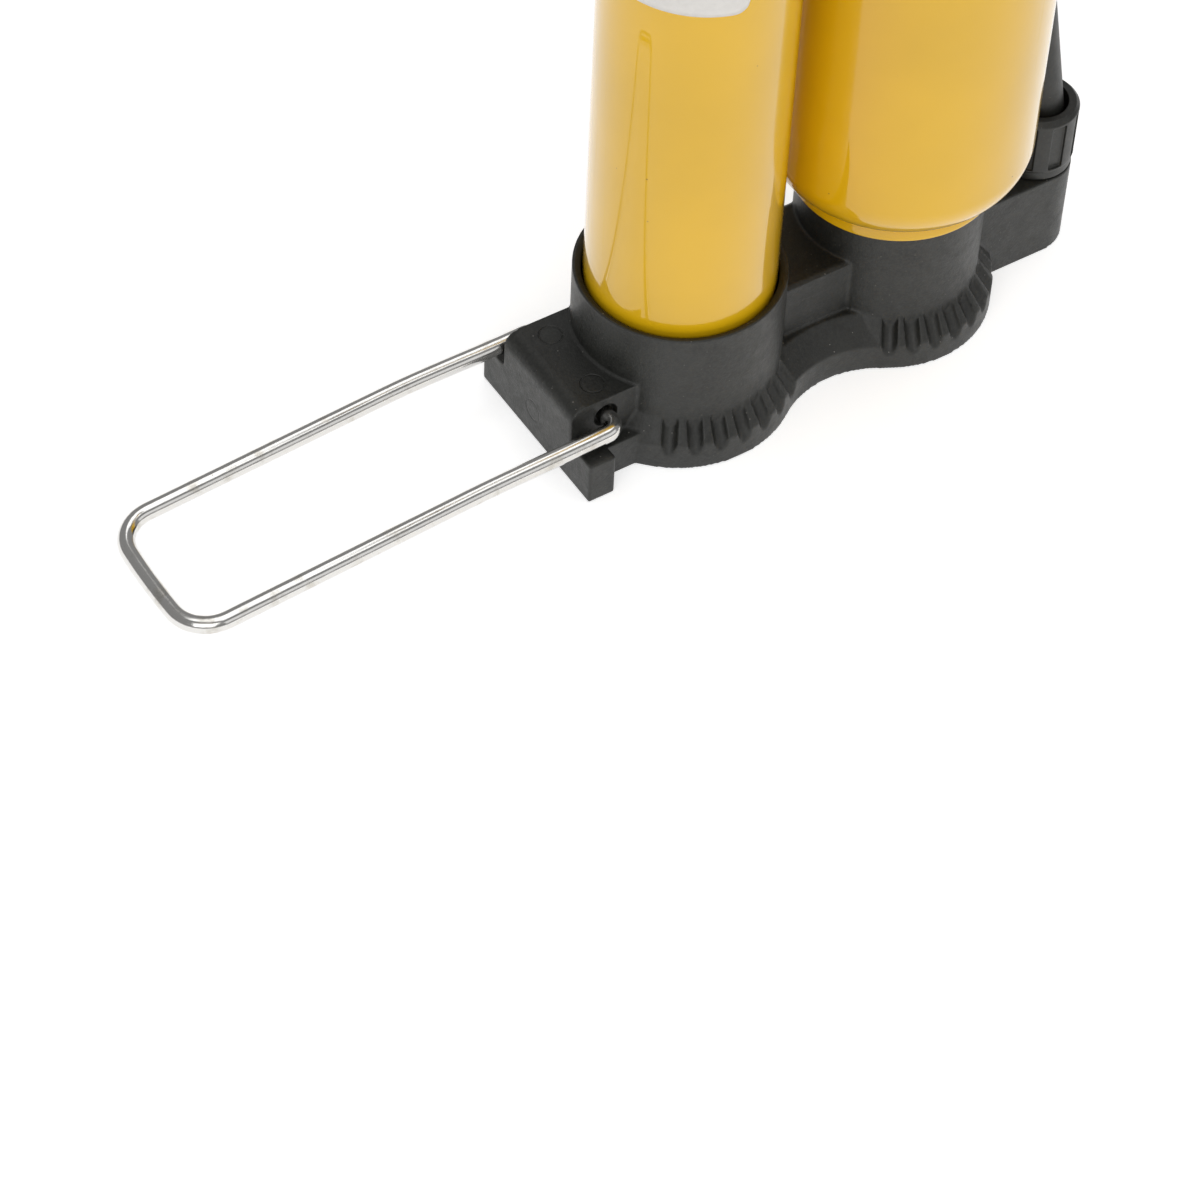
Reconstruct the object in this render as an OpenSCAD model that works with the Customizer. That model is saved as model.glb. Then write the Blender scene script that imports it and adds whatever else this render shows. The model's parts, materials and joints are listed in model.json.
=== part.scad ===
// Hand and foot air pump: a pump barrel and an air reservoir side by side on one
// moulded base, with a wire foot pedal that folds out of the base.
// Millimetres. +Z is up, the barrel axis is the Z axis and the ground is z = 0.
// The reservoir and the hose lie towards +X, the foot pedal towards -X.

/* [Barrel] */
// Outside diameter of the barrel tube
barrel_d = 32; // [26:1:40]
// Wall of the barrel tube
barrel_wall = 1.2; // [0.8:0.1:1.6]
// Length of the barrel tube
barrel_len = 225; // [170:5:280]

/* [Reservoir] */
// Outside diameter of the reservoir
tank_d = 45.6; // [38:0.2:52]
// Wall of the reservoir
tank_wall = 1.2; // [0.8:0.1:1.6]
// Radius of the reservoir's shoulders
shoulder_r = 9; // [6:0.5:11]
// Diameter of the reservoir's foot ring
foot_d = 35.3; // [33:0.1:36]
// Height of the reservoir's foot ring
foot_h = 2.9; // [1.5:0.1:5]
// Gap between the barrel and the reservoir
tube_gap = 3.4; // [3:0.1:8]

/* [Base] */
// Height of the socket ring that holds the barrel
ring_h = 27.2; // [20:0.1:36]
// Wall of the socket ring
ring_wall = 1.45; // [1.2:0.05:3]
// Height of the boss that the reservoir screws into
boss_h = 28.5; // [24:0.1:38]
// Diameter of that boss
boss_d = 32.2; // [31:0.1:34]
// Outside diameter of the flange under the barrel
flange1_d = 41; // [38:0.5:46]
// Outside diameter of the flange under the reservoir
flange2_d = 38.2; // [36:0.2:44]
// Height of the flanges' upright edge
edge_h = 5.4; // [4:0.1:7]
// Height at which the sloping skirt meets the ring and the boss
skirt_h = 9.7; // [8:0.1:12]
// Radius of the waist between the two flanges
waist_r = 18; // [14:0.5:24]
// Width of the bridge between the ring and the boss
bridge_w = 17.2; // [12:0.2:20]
// Height of the bridge
bridge_h = 20.5; // [16:0.1:24]
// Width of the flutes cut in the skirt
flute_w = 2.6; // [1.5:0.1:3.4]
// Angle from one flute to the next
flute_step = 12.5; // [11:0.5:15]

/* [Hinge block] */
// Width of the block that carries the foot pedal
block_w = 20.8; // [16:0.2:24]
// Height of the block
block_h = 15.6; // [14:0.1:20]
// Distance from the barrel axis to the block's outer face
block_x = 27.2; // [26:0.1:32]
// Length of the stabilising foot bar
foot_bar_len = 33.2; // [30:0.2:44]
// Width of the foot bar
foot_bar_w = 5; // [4:0.1:7]
// Height of the foot bar
foot_bar_h = 8.4; // [6:0.1:9]

/* [Foot pedal] */
// Diameter of the wire
wire_d = 3; // [2.5:0.1:3.4]
// Distance between the centrelines of the wire's legs
pedal_w = 26.5; // [26:0.5:34]
// Length from the hinge to the end of the loop
pedal_len = 79; // [60:1:100]
// Height of the hinge
pedal_z = 11.7; // [11:0.1:12.5]
// Distance from the barrel axis to the hinge
pedal_x = 20.4; // [19.5:0.1:21]
// Downward slope of the folded-out pedal
pedal_slope = 4.2; // [2:0.1:6]
// Radius of the loop's corners
corner_r = 6.5; // [5:0.5:9]

/* [Hose] */
// Outside diameter of the hose
hose_d = 6; // [5:0.1:6.4]
// Bore of the hose
hose_bore = 2.6; // [2:0.1:3]
// Distance from the reservoir axis to the hose nut
arm_reach = 30.2; // [30:0.1:36]
// Width of the arm that carries the hose nut
arm_w = 13.6; // [12:0.1:15]
// Height of the arm
arm_h = 17; // [15.5:0.1:20]
// Diameter of the hose nut
nut_d = 13.8; // [12.6:0.1:14.4]
// Height of the hose nut
nut_h = 12.9; // [10:0.1:16]
// Length of the strain relief's cone above the nut
relief_len = 22; // [12:1:26]
// Width of the grip recesses in the hose nut
nut_flute_w = 2.6; // [1.6:0.1:3]

/* [Chuck] */
// Diameter of the chuck's body
chuck_d = 15; // [14:0.5:18]
// Length of the chuck's body
chuck_len = 30; // [26:1:40]
// Width of the chuck's lever
lever_w = 9; // [7:0.5:10]
// Length of the lever
lever_len = 34; // [26:1:40]
// Thickness of the lever
lever_t = 3; // [2:0.1:4]

/* [Top] */
// Wall of the collar at the top of the barrel
collar_wall = 2.6; // [2:0.1:4]
// Length of barrel inside the collar
collar_grip = 20; // [14:1:30]
// Height of the top bracket over the reservoir
bracket_h = 11; // [8:0.5:16]
// Length of the handle from end to end
handle_len = 104; // [86:2:130]
// Diameter of the grips
grip_d = 21; // [18:0.5:26]
// Height of the grips' axis above the collar
handle_rise = 36; // [30:1:50]

/* [Piston] */
// Diameter of the piston rod
rod_d = 8; // [6:0.5:10]
// Height of the piston head
piston_h = 9; // [7:0.5:14]

/* [Hidden] */
$fn = 96;
eps = 0.01;
// Clearance all round between pieces that are pressed or screwed together
fit = 0.03;
// Radial clearance of a shaft in its bearing
run = 0.05;
// Gap between faces of pieces that move past each other
gap = 0.3;

black = [0.09, 0.09, 0.1];
yellow = [0.86, 0.66, 0.1];
rubber = [0.05, 0.05, 0.05];
brass = [0.75, 0.6, 0.3];
steel = [0.75, 0.75, 0.77];

// Barrel
barrel_r = barrel_d / 2;
bore_r = barrel_r - barrel_wall;
floor_z = 8;
gasket_t = 1;
gasket_in = 1.4;
barrel_z0 = floor_z + gasket_t;
barrel_z1 = barrel_z0 + barrel_len;

// Reservoir
tank_r = tank_d / 2;
foot_r = foot_d / 2;
tank_x = barrel_r + tube_gap + tank_r;
tank_z0 = boss_h;
tank_z1 = barrel_z1 - collar_grip;
foot_arc = acos((foot_r - tank_r + shoulder_r) / shoulder_r);
shoulder_z0 = tank_z0 + foot_h + shoulder_r * sin(foot_arc);
shoulder_z1 = tank_z1 - foot_h - shoulder_r * sin(foot_arc);
neck_r = 11.4;
neck_bore_r = 9.2;
neck_len = 12;
stud_r = 3;
tank_nut_h = 6;
stud_len = bracket_h + tank_nut_h + 1;

// Base
ring_r = barrel_r + gap + ring_wall;
boss_r = boss_d / 2;
boss_floor_z = boss_h - neck_len - gasket_t;
flange1_r = flange1_d / 2;
flange2_r = flange2_d / 2;
// The waist circle touches both flange circles from outside
waist_a = flange1_r + waist_r;
waist_b = flange2_r + waist_r;
waist_x = (waist_a * waist_a - waist_b * waist_b + tank_x * tank_x) / (2 * tank_x);
waist_y = sqrt(waist_a * waist_a - waist_x * waist_x);
waist_top_z = skirt_h + 0.7;
waist_spread = waist_y - waist_r - bridge_w / 2;
// The waist starts and ends where its circles touch the flanges'
waist_x0 = waist_x * flange1_r / waist_a;
waist_x1 = tank_x + (waist_x - tank_x) * flange2_r / waist_b;
// Shortfall that keeps the waist's hollow sides clear of the flanges
waist_clear = 0.03;
rim_bevel = 0.6;
rim_land = 0.35;
bridge_lip = 0.5;
bridge_lip_h = 0.4;
flutes1 = 7;
flutes2 = 8;
flute1_mid = -88;
flute2_mid = -77;
recess_h = 1.8;
recess_wall = 2.4;
recess_core_r = 6;
channel_r = 1.5;
inlet_z = 4.6;
outlet_z = 10.6;
outlet_x = tank_x + 8.6;
plug_r = 2.2;
plug_len = 3;
plug_sunk = 0.35;
plug_key_r = 1.1;
plug_key_len = 1.2;
arm_x = tank_x + arm_reach;
arm_r = arm_w / 2;

// Check valve, on the reservoir axis
seat_r = 4.6;
seat_bore_r = 1.5;
seat_lip_w = 1;
seat_lip_h = 1;
seat_len = 5;
seat_z0 = boss_floor_z - seat_len;
disc_r = 3.2;
disc_t = 1.5;
disc_pip_r = 1.2;
disc_pip_h = 1;
spring_wire = 0.5;
spring_coils = 5;
spring_r = 2.2;
cage_r = 6.6;
cage_bore_r = disc_r + 0.8;
cage_wall = 1.2;
cage_h = 9;
cage_hole_r = 1;
cage_hole_z = 5;
gasket_bore_r = cage_r + 0.6;

// Foot pedal
wire_r = wire_d / 2;
leg_y = pedal_w / 2;
tip_in = 7;
tip_bend_r = 2;
block_round = 2.6;
web_w = block_w + 5.2;
web_h = foot_bar_h - 1.6;
web_x0 = 1 - block_x;
web_x1 = -13;
mouth_clear = 0.7;
mouth_deep = 1.6;
mark_r = 2;
mark_line = 0.25;
mark_deep = 0.15;
mark_x = -20.6;
mark_y = 6.4;
side_mark_y = 1;
side_mark_z = 6;

// Hose
hose_r = hose_d / 2;
nut_z0 = arm_h + gap;
nut_z1 = nut_z0 + nut_h;
nut_flutes = 8;
nut_flute_from = -40.5;
nut_flute_deep = 0.6;
nut_flute_z0 = nut_z0 + 2.2;
nut_flute_z1 = nut_z1 - 1.3;
nut_bevel = 0.8;
nut_foot_h = 1.9;
nut_foot_in = 0.2;
barb_r = 3;
barb_len = 6;
barb_flange_r = 5;
barb_flange_h = 2.4;
barb_tip_r = hose_r - 0.4;
relief_r = 4;
relief_foot_r = relief_r + 0.9;
relief_foot_h = 3;
relief_stem_r = relief_r - 0.3;
relief_top_r = hose_r + 0.45;
relief_sunk = 2;
// The relief leans back past the reservoir from the nut's top face
relief_lean = 9;
relief_dir = 120;
hose_z0 = nut_z0 + 5;
// Clip that holds the hose at the top bracket, beside the reservoir
clip_x = tank_x + tank_r + 3.7;
clip_y = 9;
clip_wall = 1.6;
// Where the hose comes down behind the tubes into its ferrule, clear of the reservoir
ear_t = 2;
tank_clear = 0.4;
chuck_x = 21;
chuck_y = tank_r + tank_clear + ear_t + gap + lever_w / 2;
ferrule_len = 20;
ferrule_wall = 0.9;
ferrule_z0 = barrel_z1 - 33;
// A point on the relief's leaning axis, t above the nut
function lean_point(t) =
    [arm_x, 0, nut_z1] + t * [sin(relief_lean) * cos(relief_dir),
                              sin(relief_lean) * sin(relief_dir), cos(relief_lean)];
// A point of the arch over the top, from the clip at a = 0 down to the ferrule at a = 180
arch_z = barrel_z1 - 10;
arch_h = 32;
function arch_point(a) = let (share = (1 - cos(a)) / 2)
    [clip_x + (chuck_x - clip_x) * share, clip_y + (chuck_y - clip_y) * share, arch_z + arch_h * sin(a)];
// Route of the hose: up beside the reservoir, over the top and down at the back
hose_route = [[arm_x, 0, hose_z0], [arm_x, 0, nut_z1 - 4], lean_point(4), lean_point(14), lean_point(24),
              [clip_x + 0.7, 5.2, 78], [clip_x + 0.1, 6.8, 102], [clip_x, 7.8, 128], [clip_x, 8.4, 154],
              [clip_x, 8.8, 180], [clip_x, clip_y, tank_z1 - 10],
              for (a = [0:22.5:180]) arch_point(a),
              [chuck_x, chuck_y, ferrule_z0 + 1]];

// Chuck
chuck_r = chuck_d / 2;
chuck_x0 = -chuck_len / 2;
chuck_x1 = chuck_len / 2;
chuck_neck_h = 12;
chuck_neck_r = hose_r + 1.6;
chuck_z = ferrule_z0 - chuck_neck_h;
chuck_bore_r = 5.2;
chuck_air_r = 2;
chuck_back = 4;
chuck_mouth_r = 4.1;
cap_t = 4;
cap_spigot = 2;
seal_bore_r = 3.9;
seal_len = 6;
pusher_t = 2;
pusher_tip_r = 1.2;
pusher_tip_len = 3;
pusher_hole_r = 0.7;
pusher_hole_at = 3.4;
hinge_x = chuck_x1 + 4;
ear_len = 9;
ear_h = 8;
ear_y = lever_w / 2 + gap;
pin_r = 1.25;
lever_hub_r = 3.2;
lever_z0 = -chuck_r - gap - lever_t;
lever_ribs = 4;
lever_rib_r = 0.7;
lever_rib_step = 3;

// Top bracket, bush and handle
collar_r = barrel_r + collar_wall;
collar_skirt = 4;
collar_top = barrel_z1 + 6;
collar_bevel = 1;
snap_w = 4.8;
hose_snap_w = 4;
tank_nut_r = 6;
tank_nut_flange_r = 7;
tank_nut_dome = 2.6;
bush_r = 9;
bush_len = 8;
wiper_h = 2;
rod_r = rod_d / 2;
tail_r = rod_r - 1.5;
piston_z0 = barrel_z0 + 2;
piston_r = bore_r - gap;
cup_r = bore_r - run;
cup_h = 5;
cup_floor = 2;
spigot_r = piston_r - 2.5;
washer_t = 1.2;
head_z0 = piston_z0 + washer_t + cup_h;
head_z1 = head_z0 + piston_h;
ring_groove_deep = 1.2;
ring_groove_h = 2.4;
rod_seat = 1.5;
rod_z0 = head_z1 - rod_seat + gap;
rod_nut_h = 1.4;
rod_nut_r = rod_r + 0.5;
grip_z = collar_top + handle_rise;
hub_r = 9;
hub_z0 = collar_top + gap + 1.2;
grip_r = grip_d / 2;
grip_wall = 2.5;
grip_end = 1.5;
grip_ribs = 9;
grip_rib_deep = 0.8;
grip_taper = 5;
grip_taper_in = 3;
core_r = grip_r - grip_wall;
grip_y0 = 13;
// The rod ends inside the handle's hub
rod_z1 = grip_z - 4;
screw_r = 2.5;
screw_head_r = 4.4;
screw_head_h = 2;
screw_head_z = grip_z + grip_r - 3;
screw_slot_w = 1;
screw_slot_deep = 0.8;

// Blank label
label_t = 0.15;
label_z0 = 95;
label_h = 60;
label_from = -200;
label_turn = 103;

// ---------------------------------------------------------------- helpers

module tube(r_out, r_in, h) {
    difference() {
        cylinder(r = r_out, h = h);
        translate([0, 0, -eps]) cylinder(r = r_in, h = h + 2 * eps);
    }
}

module ring(r_out, r_in, z0, z1) {
    rotate_extrude() translate([r_in, z0]) square([r_out - r_in, z1 - z0]);
}

// Round bar along Y
module bar_y(r, y0, y1) {
    translate([0, y0, 0]) rotate([-90, 0, 0]) cylinder(r = r, h = y1 - y0);
}

// Round bar along X
module bar_x(r, x0, x1) {
    translate([x0, 0, 0]) rotate([0, 90, 0]) cylinder(r = r, h = x1 - x0);
}

// Part of a ring of round wire, from one angle through another
module wire_bend(bend_r, wire, from, turn) {
    rotate([0, 0, from]) rotate_extrude(angle = turn) translate([bend_r, 0]) circle(r = wire, $fn = 48);
}

// ---------------------------------------------------------------- base

// Flange under one tube: upright edge, then a slope up to the ring or boss
module flange(r_edge, r_top) {
    cylinder(r = r_edge, h = edge_h);
    translate([0, 0, edge_h - eps]) cylinder(r1 = r_edge, r2 = r_top, h = skirt_h - edge_h + eps);
}

// Hollow side of the waist
module waist_cut(side) {
    r = waist_r - waist_clear;
    slope_h = waist_top_z - edge_h + 2 * eps;
    translate([waist_x, side * waist_y, -eps]) {
        cylinder(r = r, h = edge_h + 2 * eps);
        translate([0, 0, edge_h]) cylinder(r1 = r, r2 = r + waist_spread, h = slope_h);
    }
}

module waist() {
    difference() {
        translate([waist_x0, -waist_y, 0]) cube([waist_x1 - waist_x0, 2 * waist_y, waist_top_z]);
        waist_cut(-1);
        waist_cut(1);
        // Above the skirt only the bridge goes on
        for (y = [-bridge_w / 2 - waist_y, bridge_w / 2])
            translate([waist_x0 - 1, y, skirt_h]) cube([waist_x1 - waist_x0 + 2, waist_y, bridge_h]);
    }
}

// One flute: a half-round groove that runs down the slope and out at the edge
module flute(r_edge, r_top) {
    lean = atan((r_edge - r_top) / (skirt_h - edge_h));
    reach = 8;
    translate([r_edge, 0, edge_h]) rotate([0, -lean, 0])
        translate([0, 0, -reach]) cylinder(d = flute_w, h = 2 * reach);
}

module flutes(r_edge, r_top, count, mid) {
    for (side = [-1, 1], i = [0:count - 1])
        rotate([0, 0, -side * (mid + (i - (count - 1) / 2) * flute_step)]) flute(r_edge, r_top);
}

module hinge_block() {
    side_y = block_w / 2;
    inner_x = ring_r / 2;
    round_z = block_h - block_round;
    difference() {
        union() {
            // Block with a rounded outer top edge
            translate([-block_x, -side_y, 0]) cube([block_x - inner_x, block_w, round_z]);
            translate([block_round - block_x, -side_y, round_z - eps])
                cube([block_x - block_round - inner_x, block_w, block_round + eps]);
            translate([block_round - block_x, 0, round_z]) bar_y(block_round, -side_y, side_y);
            // Foot bar and the web that joins it to the flange
            translate([-block_x, -foot_bar_len / 2, 0]) cube([foot_bar_w, foot_bar_len, foot_bar_h]);
            translate([web_x0, -web_w / 2, 0]) cube([web_x1 - web_x0, web_w, web_h]);
        }
        // Ejector marks
        for (y = [-mark_y, mark_y]) translate([mark_x, y, block_h - mark_deep]) mark();
        translate([mark_deep - 1 - block_x, side_mark_y, side_mark_z]) rotate([0, 90, 0]) mark();
    }
}

module mark() {
    tube(mark_r, mark_r - mark_line, 1);
}

// Bearings for the wire's tips, each with a wide mouth for the wire's bend
module pedal_holes() {
    deep_y = leg_y - tip_in - 1;
    side_y = block_w / 2;
    for (turn = [0, 180]) translate([-pedal_x, 0, pedal_z]) rotate([turn, 0, 0]) {
        bar_y(wire_r + run, deep_y, side_y + 1);
        bar_y(wire_r + mouth_clear, side_y - mouth_deep, side_y + 1);
    }
}

module arm() {
    translate([tank_x, -arm_r, 0]) cube([arm_reach, arm_w, arm_h]);
    translate([arm_x, 0, 0]) cylinder(r = arm_r, h = arm_h);
}

module base_outside() {
    difference() {
        union() {
            flange(flange1_r, ring_r);
            translate([tank_x, 0, 0]) flange(flange2_r, boss_r);
            waist();
        }
        flutes(flange1_r, ring_r, flutes1, flute1_mid);
        translate([tank_x, 0, 0]) flutes(flange2_r, boss_r, flutes2, flute2_mid);
    }
    cylinder(r = ring_r, h = ring_h);
    translate([tank_x, 0, 0]) cylinder(r = boss_r, h = boss_h);
    // Bridge, with a thin lip along its two top edges
    translate([0, -bridge_w / 2, 0]) cube([tank_x, bridge_w, bridge_h - bridge_lip_h]);
    translate([0, bridge_lip - bridge_w / 2, 0]) cube([tank_x, bridge_w - 2 * bridge_lip, bridge_h]);
    hinge_block();
    arm();
}

module base() {
    arm_end = arm_x + arm_r;
    color(black) difference() {
        base_outside();
        // Socket for the barrel, its rim eased on the inside
        translate([0, 0, floor_z]) cylinder(r = barrel_r + gap, h = ring_h);
        translate([0, 0, ring_h - rim_bevel])
            cylinder(r1 = barrel_r + gap, r2 = ring_r - rim_land, h = rim_bevel + eps);
        // Socket for the reservoir's neck and the valve seat
        translate([tank_x, 0, boss_floor_z]) cylinder(r = neck_r + fit, h = boss_h);
        translate([tank_x, 0, seat_z0]) cylinder(r = seat_r + fit, h = boss_h);
        // Air channel from the barrel to the check valve
        translate([0, 0, inlet_z]) cylinder(r = channel_r, h = floor_z);
        translate([0, 0, inlet_z]) bar_x(channel_r, -1, arm_end + 1);
        translate([tank_x, 0, inlet_z]) cylinder(r = channel_r, h = boss_h);
        // Air channel from the reservoir to the hose
        translate([outlet_x, 0, outlet_z]) cylinder(r = channel_r, h = boss_h);
        translate([0, 0, outlet_z]) bar_x(channel_r, outlet_x, arm_end + 1);
        translate([arm_x, 0, outlet_z]) cylinder(r = channel_r, h = boss_h);
        translate([arm_x, 0, arm_h - barb_len]) cylinder(r = barb_r + fit, h = arm_h);
        for (z = [inlet_z, outlet_z])
            translate([0, 0, z]) bar_x(plug_r, arm_end - plug_len, arm_end + 1);
        pedal_holes();
        // Moulded recess underneath, with a pillar left under each tube
        translate([0, 0, -eps]) ring(flange1_r - recess_wall, recess_core_r, 0, recess_h);
        translate([tank_x, 0, -eps]) ring(flange2_r - recess_wall, recess_core_r, 0, recess_h);
    }
}

module channel_plugs() {
    end_x = arm_x + arm_r;
    face_x = end_x - plug_sunk;
    color(brass) for (z = [inlet_z, outlet_z])
        translate([0, 0, z]) difference() {
            bar_x(plug_r - fit, end_x - plug_len, face_x);
            translate([face_x - plug_key_len, 0, 0]) rotate([0, 90, 0])
                cylinder(r = plug_key_r, h = plug_len, $fn = 6);
        }
}

module barrel_gasket() {
    color(rubber) ring(barrel_r + gap - fit, bore_r - gasket_in, floor_z, barrel_z0);
}

module barrel() {
    color(yellow) translate([0, 0, barrel_z0]) tube(barrel_r, bore_r, barrel_len);
}

// ---------------------------------------------------------------- reservoir

// Half profile of the reservoir, its outside for t = 0 and its inside for t = tank_wall
module tank_profile(t) {
    s = shoulder_r;
    z0 = shoulder_z0;
    z1 = shoulder_z1;
    core = 0.9 * (s - t);
    intersection() {
        union() {
            translate([0, z0]) square([tank_r - t, z1 - z0]);
            translate([0, tank_z0]) square([foot_r - t, tank_z1 - tank_z0]);
            intersection() {
                for (z = [z0, z1]) translate([tank_r - s, z]) circle(r = s - t);
                translate([0, tank_z0 + foot_h]) square([tank_r, tank_z1 - tank_z0 - 2 * foot_h]);
            }
            translate([0, z0 - core]) square([tank_r - s, z1 - z0 + 2 * core]);
        }
        translate([0, tank_z0 + t]) square([tank_r, tank_z1 - tank_z0 - 2 * t]);
    }
}

module tank() {
    color(yellow) translate([tank_x, 0, 0]) difference() {
        union() {
            rotate_extrude() tank_profile(0);
            translate([0, 0, tank_z0 - neck_len]) cylinder(r = neck_r, h = neck_len + 1);
            translate([0, 0, tank_z1 - 1]) cylinder(r = stud_r, h = stud_len + 1);
        }
        rotate_extrude() tank_profile(tank_wall);
        translate([0, 0, tank_z0 - neck_len - eps]) cylinder(r = neck_bore_r, h = neck_len + 4);
    }
}

module tank_gasket() {
    color(rubber) translate([tank_x, 0, 0])
        ring(neck_r - fit, gasket_bore_r, boss_floor_z, boss_floor_z + gasket_t);
}

// ---------------------------------------------------------------- check valve

module valve_seat() {
    color(brass) translate([tank_x, 0, 0]) difference() {
        ring(seat_r, seat_bore_r, seat_z0, boss_floor_z);
        translate([0, 0, boss_floor_z - seat_lip_h]) tube(seat_r + 1, seat_bore_r + seat_lip_w, 2);
    }
}

module valve_disc() {
    color(rubber) translate([tank_x, 0, boss_floor_z + eps]) {
        cylinder(r = disc_r, h = disc_t);
        cylinder(r = disc_pip_r, h = disc_t + disc_pip_h);
    }
}

module valve_spring() {
    z0 = boss_floor_z + disc_t + spring_wire + 5 * eps;
    z1 = boss_floor_z + cage_h - cage_wall - spring_wire - 5 * eps;
    color(steel) translate([tank_x, 0, 0]) for (i = [0:spring_coils - 1])
        translate([0, 0, z0 + (z1 - z0) * i / (spring_coils - 1)]) wire_bend(spring_r, spring_wire, 0, 360);
}

module valve_cage() {
    color(brass) translate([tank_x, 0, boss_floor_z]) difference() {
        cylinder(r = cage_r, h = cage_h);
        translate([0, 0, -eps]) cylinder(r = cage_bore_r, h = cage_h - cage_wall + eps);
        translate([0, 0, -1]) cylinder(r = cage_hole_r, h = cage_h + 2);
        for (a = [0, 90]) rotate([0, 0, a])
            translate([0, 0, cage_hole_z]) bar_x(cage_hole_r, -cage_r - 1, cage_r + 1);
    }
}

// ---------------------------------------------------------------- foot pedal

// The wire lies in the XY plane with its hinge on the Y axis, and points to -X
module pedal_flat() {
    corner_x = -pedal_len + corner_r;
    for (s = [-1, 1]) scale([1, s, 1]) {
        bar_y(wire_r, leg_y - tip_in, leg_y - tip_bend_r);
        translate([-tip_bend_r, leg_y - tip_bend_r, 0]) wire_bend(tip_bend_r, wire_r, 0, 90);
        translate([0, leg_y, 0]) bar_x(wire_r, corner_x, -tip_bend_r);
        translate([corner_x, leg_y - corner_r, 0]) wire_bend(corner_r, wire_r, 90, 90);
    }
    translate([-pedal_len, 0, 0]) bar_y(wire_r, corner_r - leg_y, leg_y - corner_r);
}

module foot_pedal() {
    color(steel) translate([-pedal_x, 0, pedal_z]) rotate([0, -pedal_slope, 0]) pedal_flat();
}

// ---------------------------------------------------------------- hose

module hose_barb() {
    color(brass) translate([arm_x, 0, 0]) difference() {
        union() {
            translate([0, 0, arm_h - barb_len]) cylinder(r = barb_r, h = barb_len + barb_flange_h);
            translate([0, 0, arm_h]) cylinder(r = barb_flange_r, h = barb_flange_h);
            translate([0, 0, arm_h]) cylinder(r = barb_tip_r, h = hose_z0 - arm_h);
        }
        translate([0, 0, arm_h - barb_len - 1]) cylinder(r = hose_bore / 2, h = 30);
    }
}

module hose_nut() {
    nut_r = nut_d / 2;
    body_z0 = nut_z0 + nut_foot_h;
    color(black) translate([arm_x, 0, 0]) difference() {
        union() {
            translate([0, 0, nut_z0]) cylinder(r = nut_r - nut_foot_in, h = nut_foot_h + 0.1);
            translate([0, 0, body_z0]) cylinder(r = nut_r, h = nut_z1 - nut_bevel - body_z0);
            translate([0, 0, nut_z1 - nut_bevel])
                cylinder(r1 = nut_r, r2 = nut_r - 0.9 * nut_bevel, h = nut_bevel);
        }
        translate([0, 0, nut_z0 - 1]) cylinder(r = barb_flange_r + fit, h = 1 + barb_flange_h);
        translate([0, 0, nut_z0]) cylinder(r = relief_foot_r, h = nut_h + 1);
        for (i = [0:nut_flutes - 1]) rotate([0, 0, nut_flute_from + i * 360 / nut_flutes])
            translate([nut_r - nut_flute_deep, -nut_flute_w / 2, nut_flute_z0])
                cube([2, nut_flute_w, nut_flute_z1 - nut_flute_z0]);
    }
}

module at_lean() {
    translate([arm_x, 0, nut_z1]) rotate([0, 0, relief_dir]) rotate([0, relief_lean, 0]) children();
}

module strain_relief() {
    z0 = nut_z0 + barb_flange_h;
    color(black) difference() {
        union() {
            translate([arm_x, 0, z0]) cylinder(r = relief_foot_r - fit, h = relief_foot_h);
            translate([arm_x, 0, z0]) cylinder(r = relief_stem_r, h = nut_z1 - z0 - 0.5);
            at_lean() translate([0, 0, -relief_sunk])
                cylinder(r1 = relief_r, r2 = relief_top_r, h = relief_len + relief_sunk);
        }
        translate([arm_x, 0, z0 - 1]) cylinder(r = hose_r + 0.4, h = nut_z1 - z0 + 0.2);
        at_lean() translate([0, 0, 0.5 - relief_sunk]) cylinder(r = hose_r + 0.15, h = relief_len + 3);
    }
}

// A point of a smooth curve through four route points
function curve(a, b, c, d, t) =
    b + (c - a) * t / 2 + (2 * a - 5 * b + 4 * c - d) * t * t / 2
      + (3 * b - a - 3 * c + d) * t * t * t / 2;

function route_points(p, steps) = let (last = len(p) - 1)
    [for (i = [0:last - 1], k = [0:steps - 1])
        curve(p[max(i - 1, 0)], p[i], p[i + 1], p[min(i + 2, last)], k / steps),
     p[last]];

function unit(v) = v / norm(v);

// Direction of the route at each point
function headings(q) = let (last = len(q) - 1)
    [for (i = [0:last]) unit(q[min(i + 1, last)] - q[max(i - 1, 0)])];

// Tube along the points q, with its section turned as little as possible
module swept_tube(q, r, sides) {
    dirs = headings(q);
    side_x = [for (i = 0, u = unit(cross(dirs[0], [0, 1, 0])); i < len(q);
                   i = i + 1, u = i < len(q) ? unit(u - dirs[i] * (u * dirs[i])) : u) u];
    pts = [for (i = [0:len(q) - 1], k = [0:sides - 1])
               let (a = 360 * k / sides, v = cross(dirs[i], side_x[i]))
               q[i] + r * (cos(a) * side_x[i] + sin(a) * v)];
    n = len(q);
    walls = [for (i = [0:n - 2], k = [0:sides - 1]) let (k2 = (k + 1) % sides)
                 [i * sides + k, (i + 1) * sides + k, (i + 1) * sides + k2, i * sides + k2]];
    ends = [[for (k = [0:sides - 1]) k], [for (k = [sides - 1:-1:0]) (n - 1) * sides + k]];
    polyhedron(points = pts, faces = concat(walls, ends), convexity = 6);
}

module hose() {
    color(rubber) swept_tube(route_points(hose_route, 3), hose_r - 0.05, 12);
}

module hose_ferrule() {
    color(steel) translate([chuck_x, chuck_y, ferrule_z0])
        tube(hose_r + ferrule_wall, hose_r + 2 * run, ferrule_len);
}

// ---------------------------------------------------------------- chuck

// The chuck lies along X, its mouth towards -X, and hangs under the ferrule
module at_chuck() {
    translate([chuck_x, chuck_y, chuck_z]) children();
}

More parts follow.
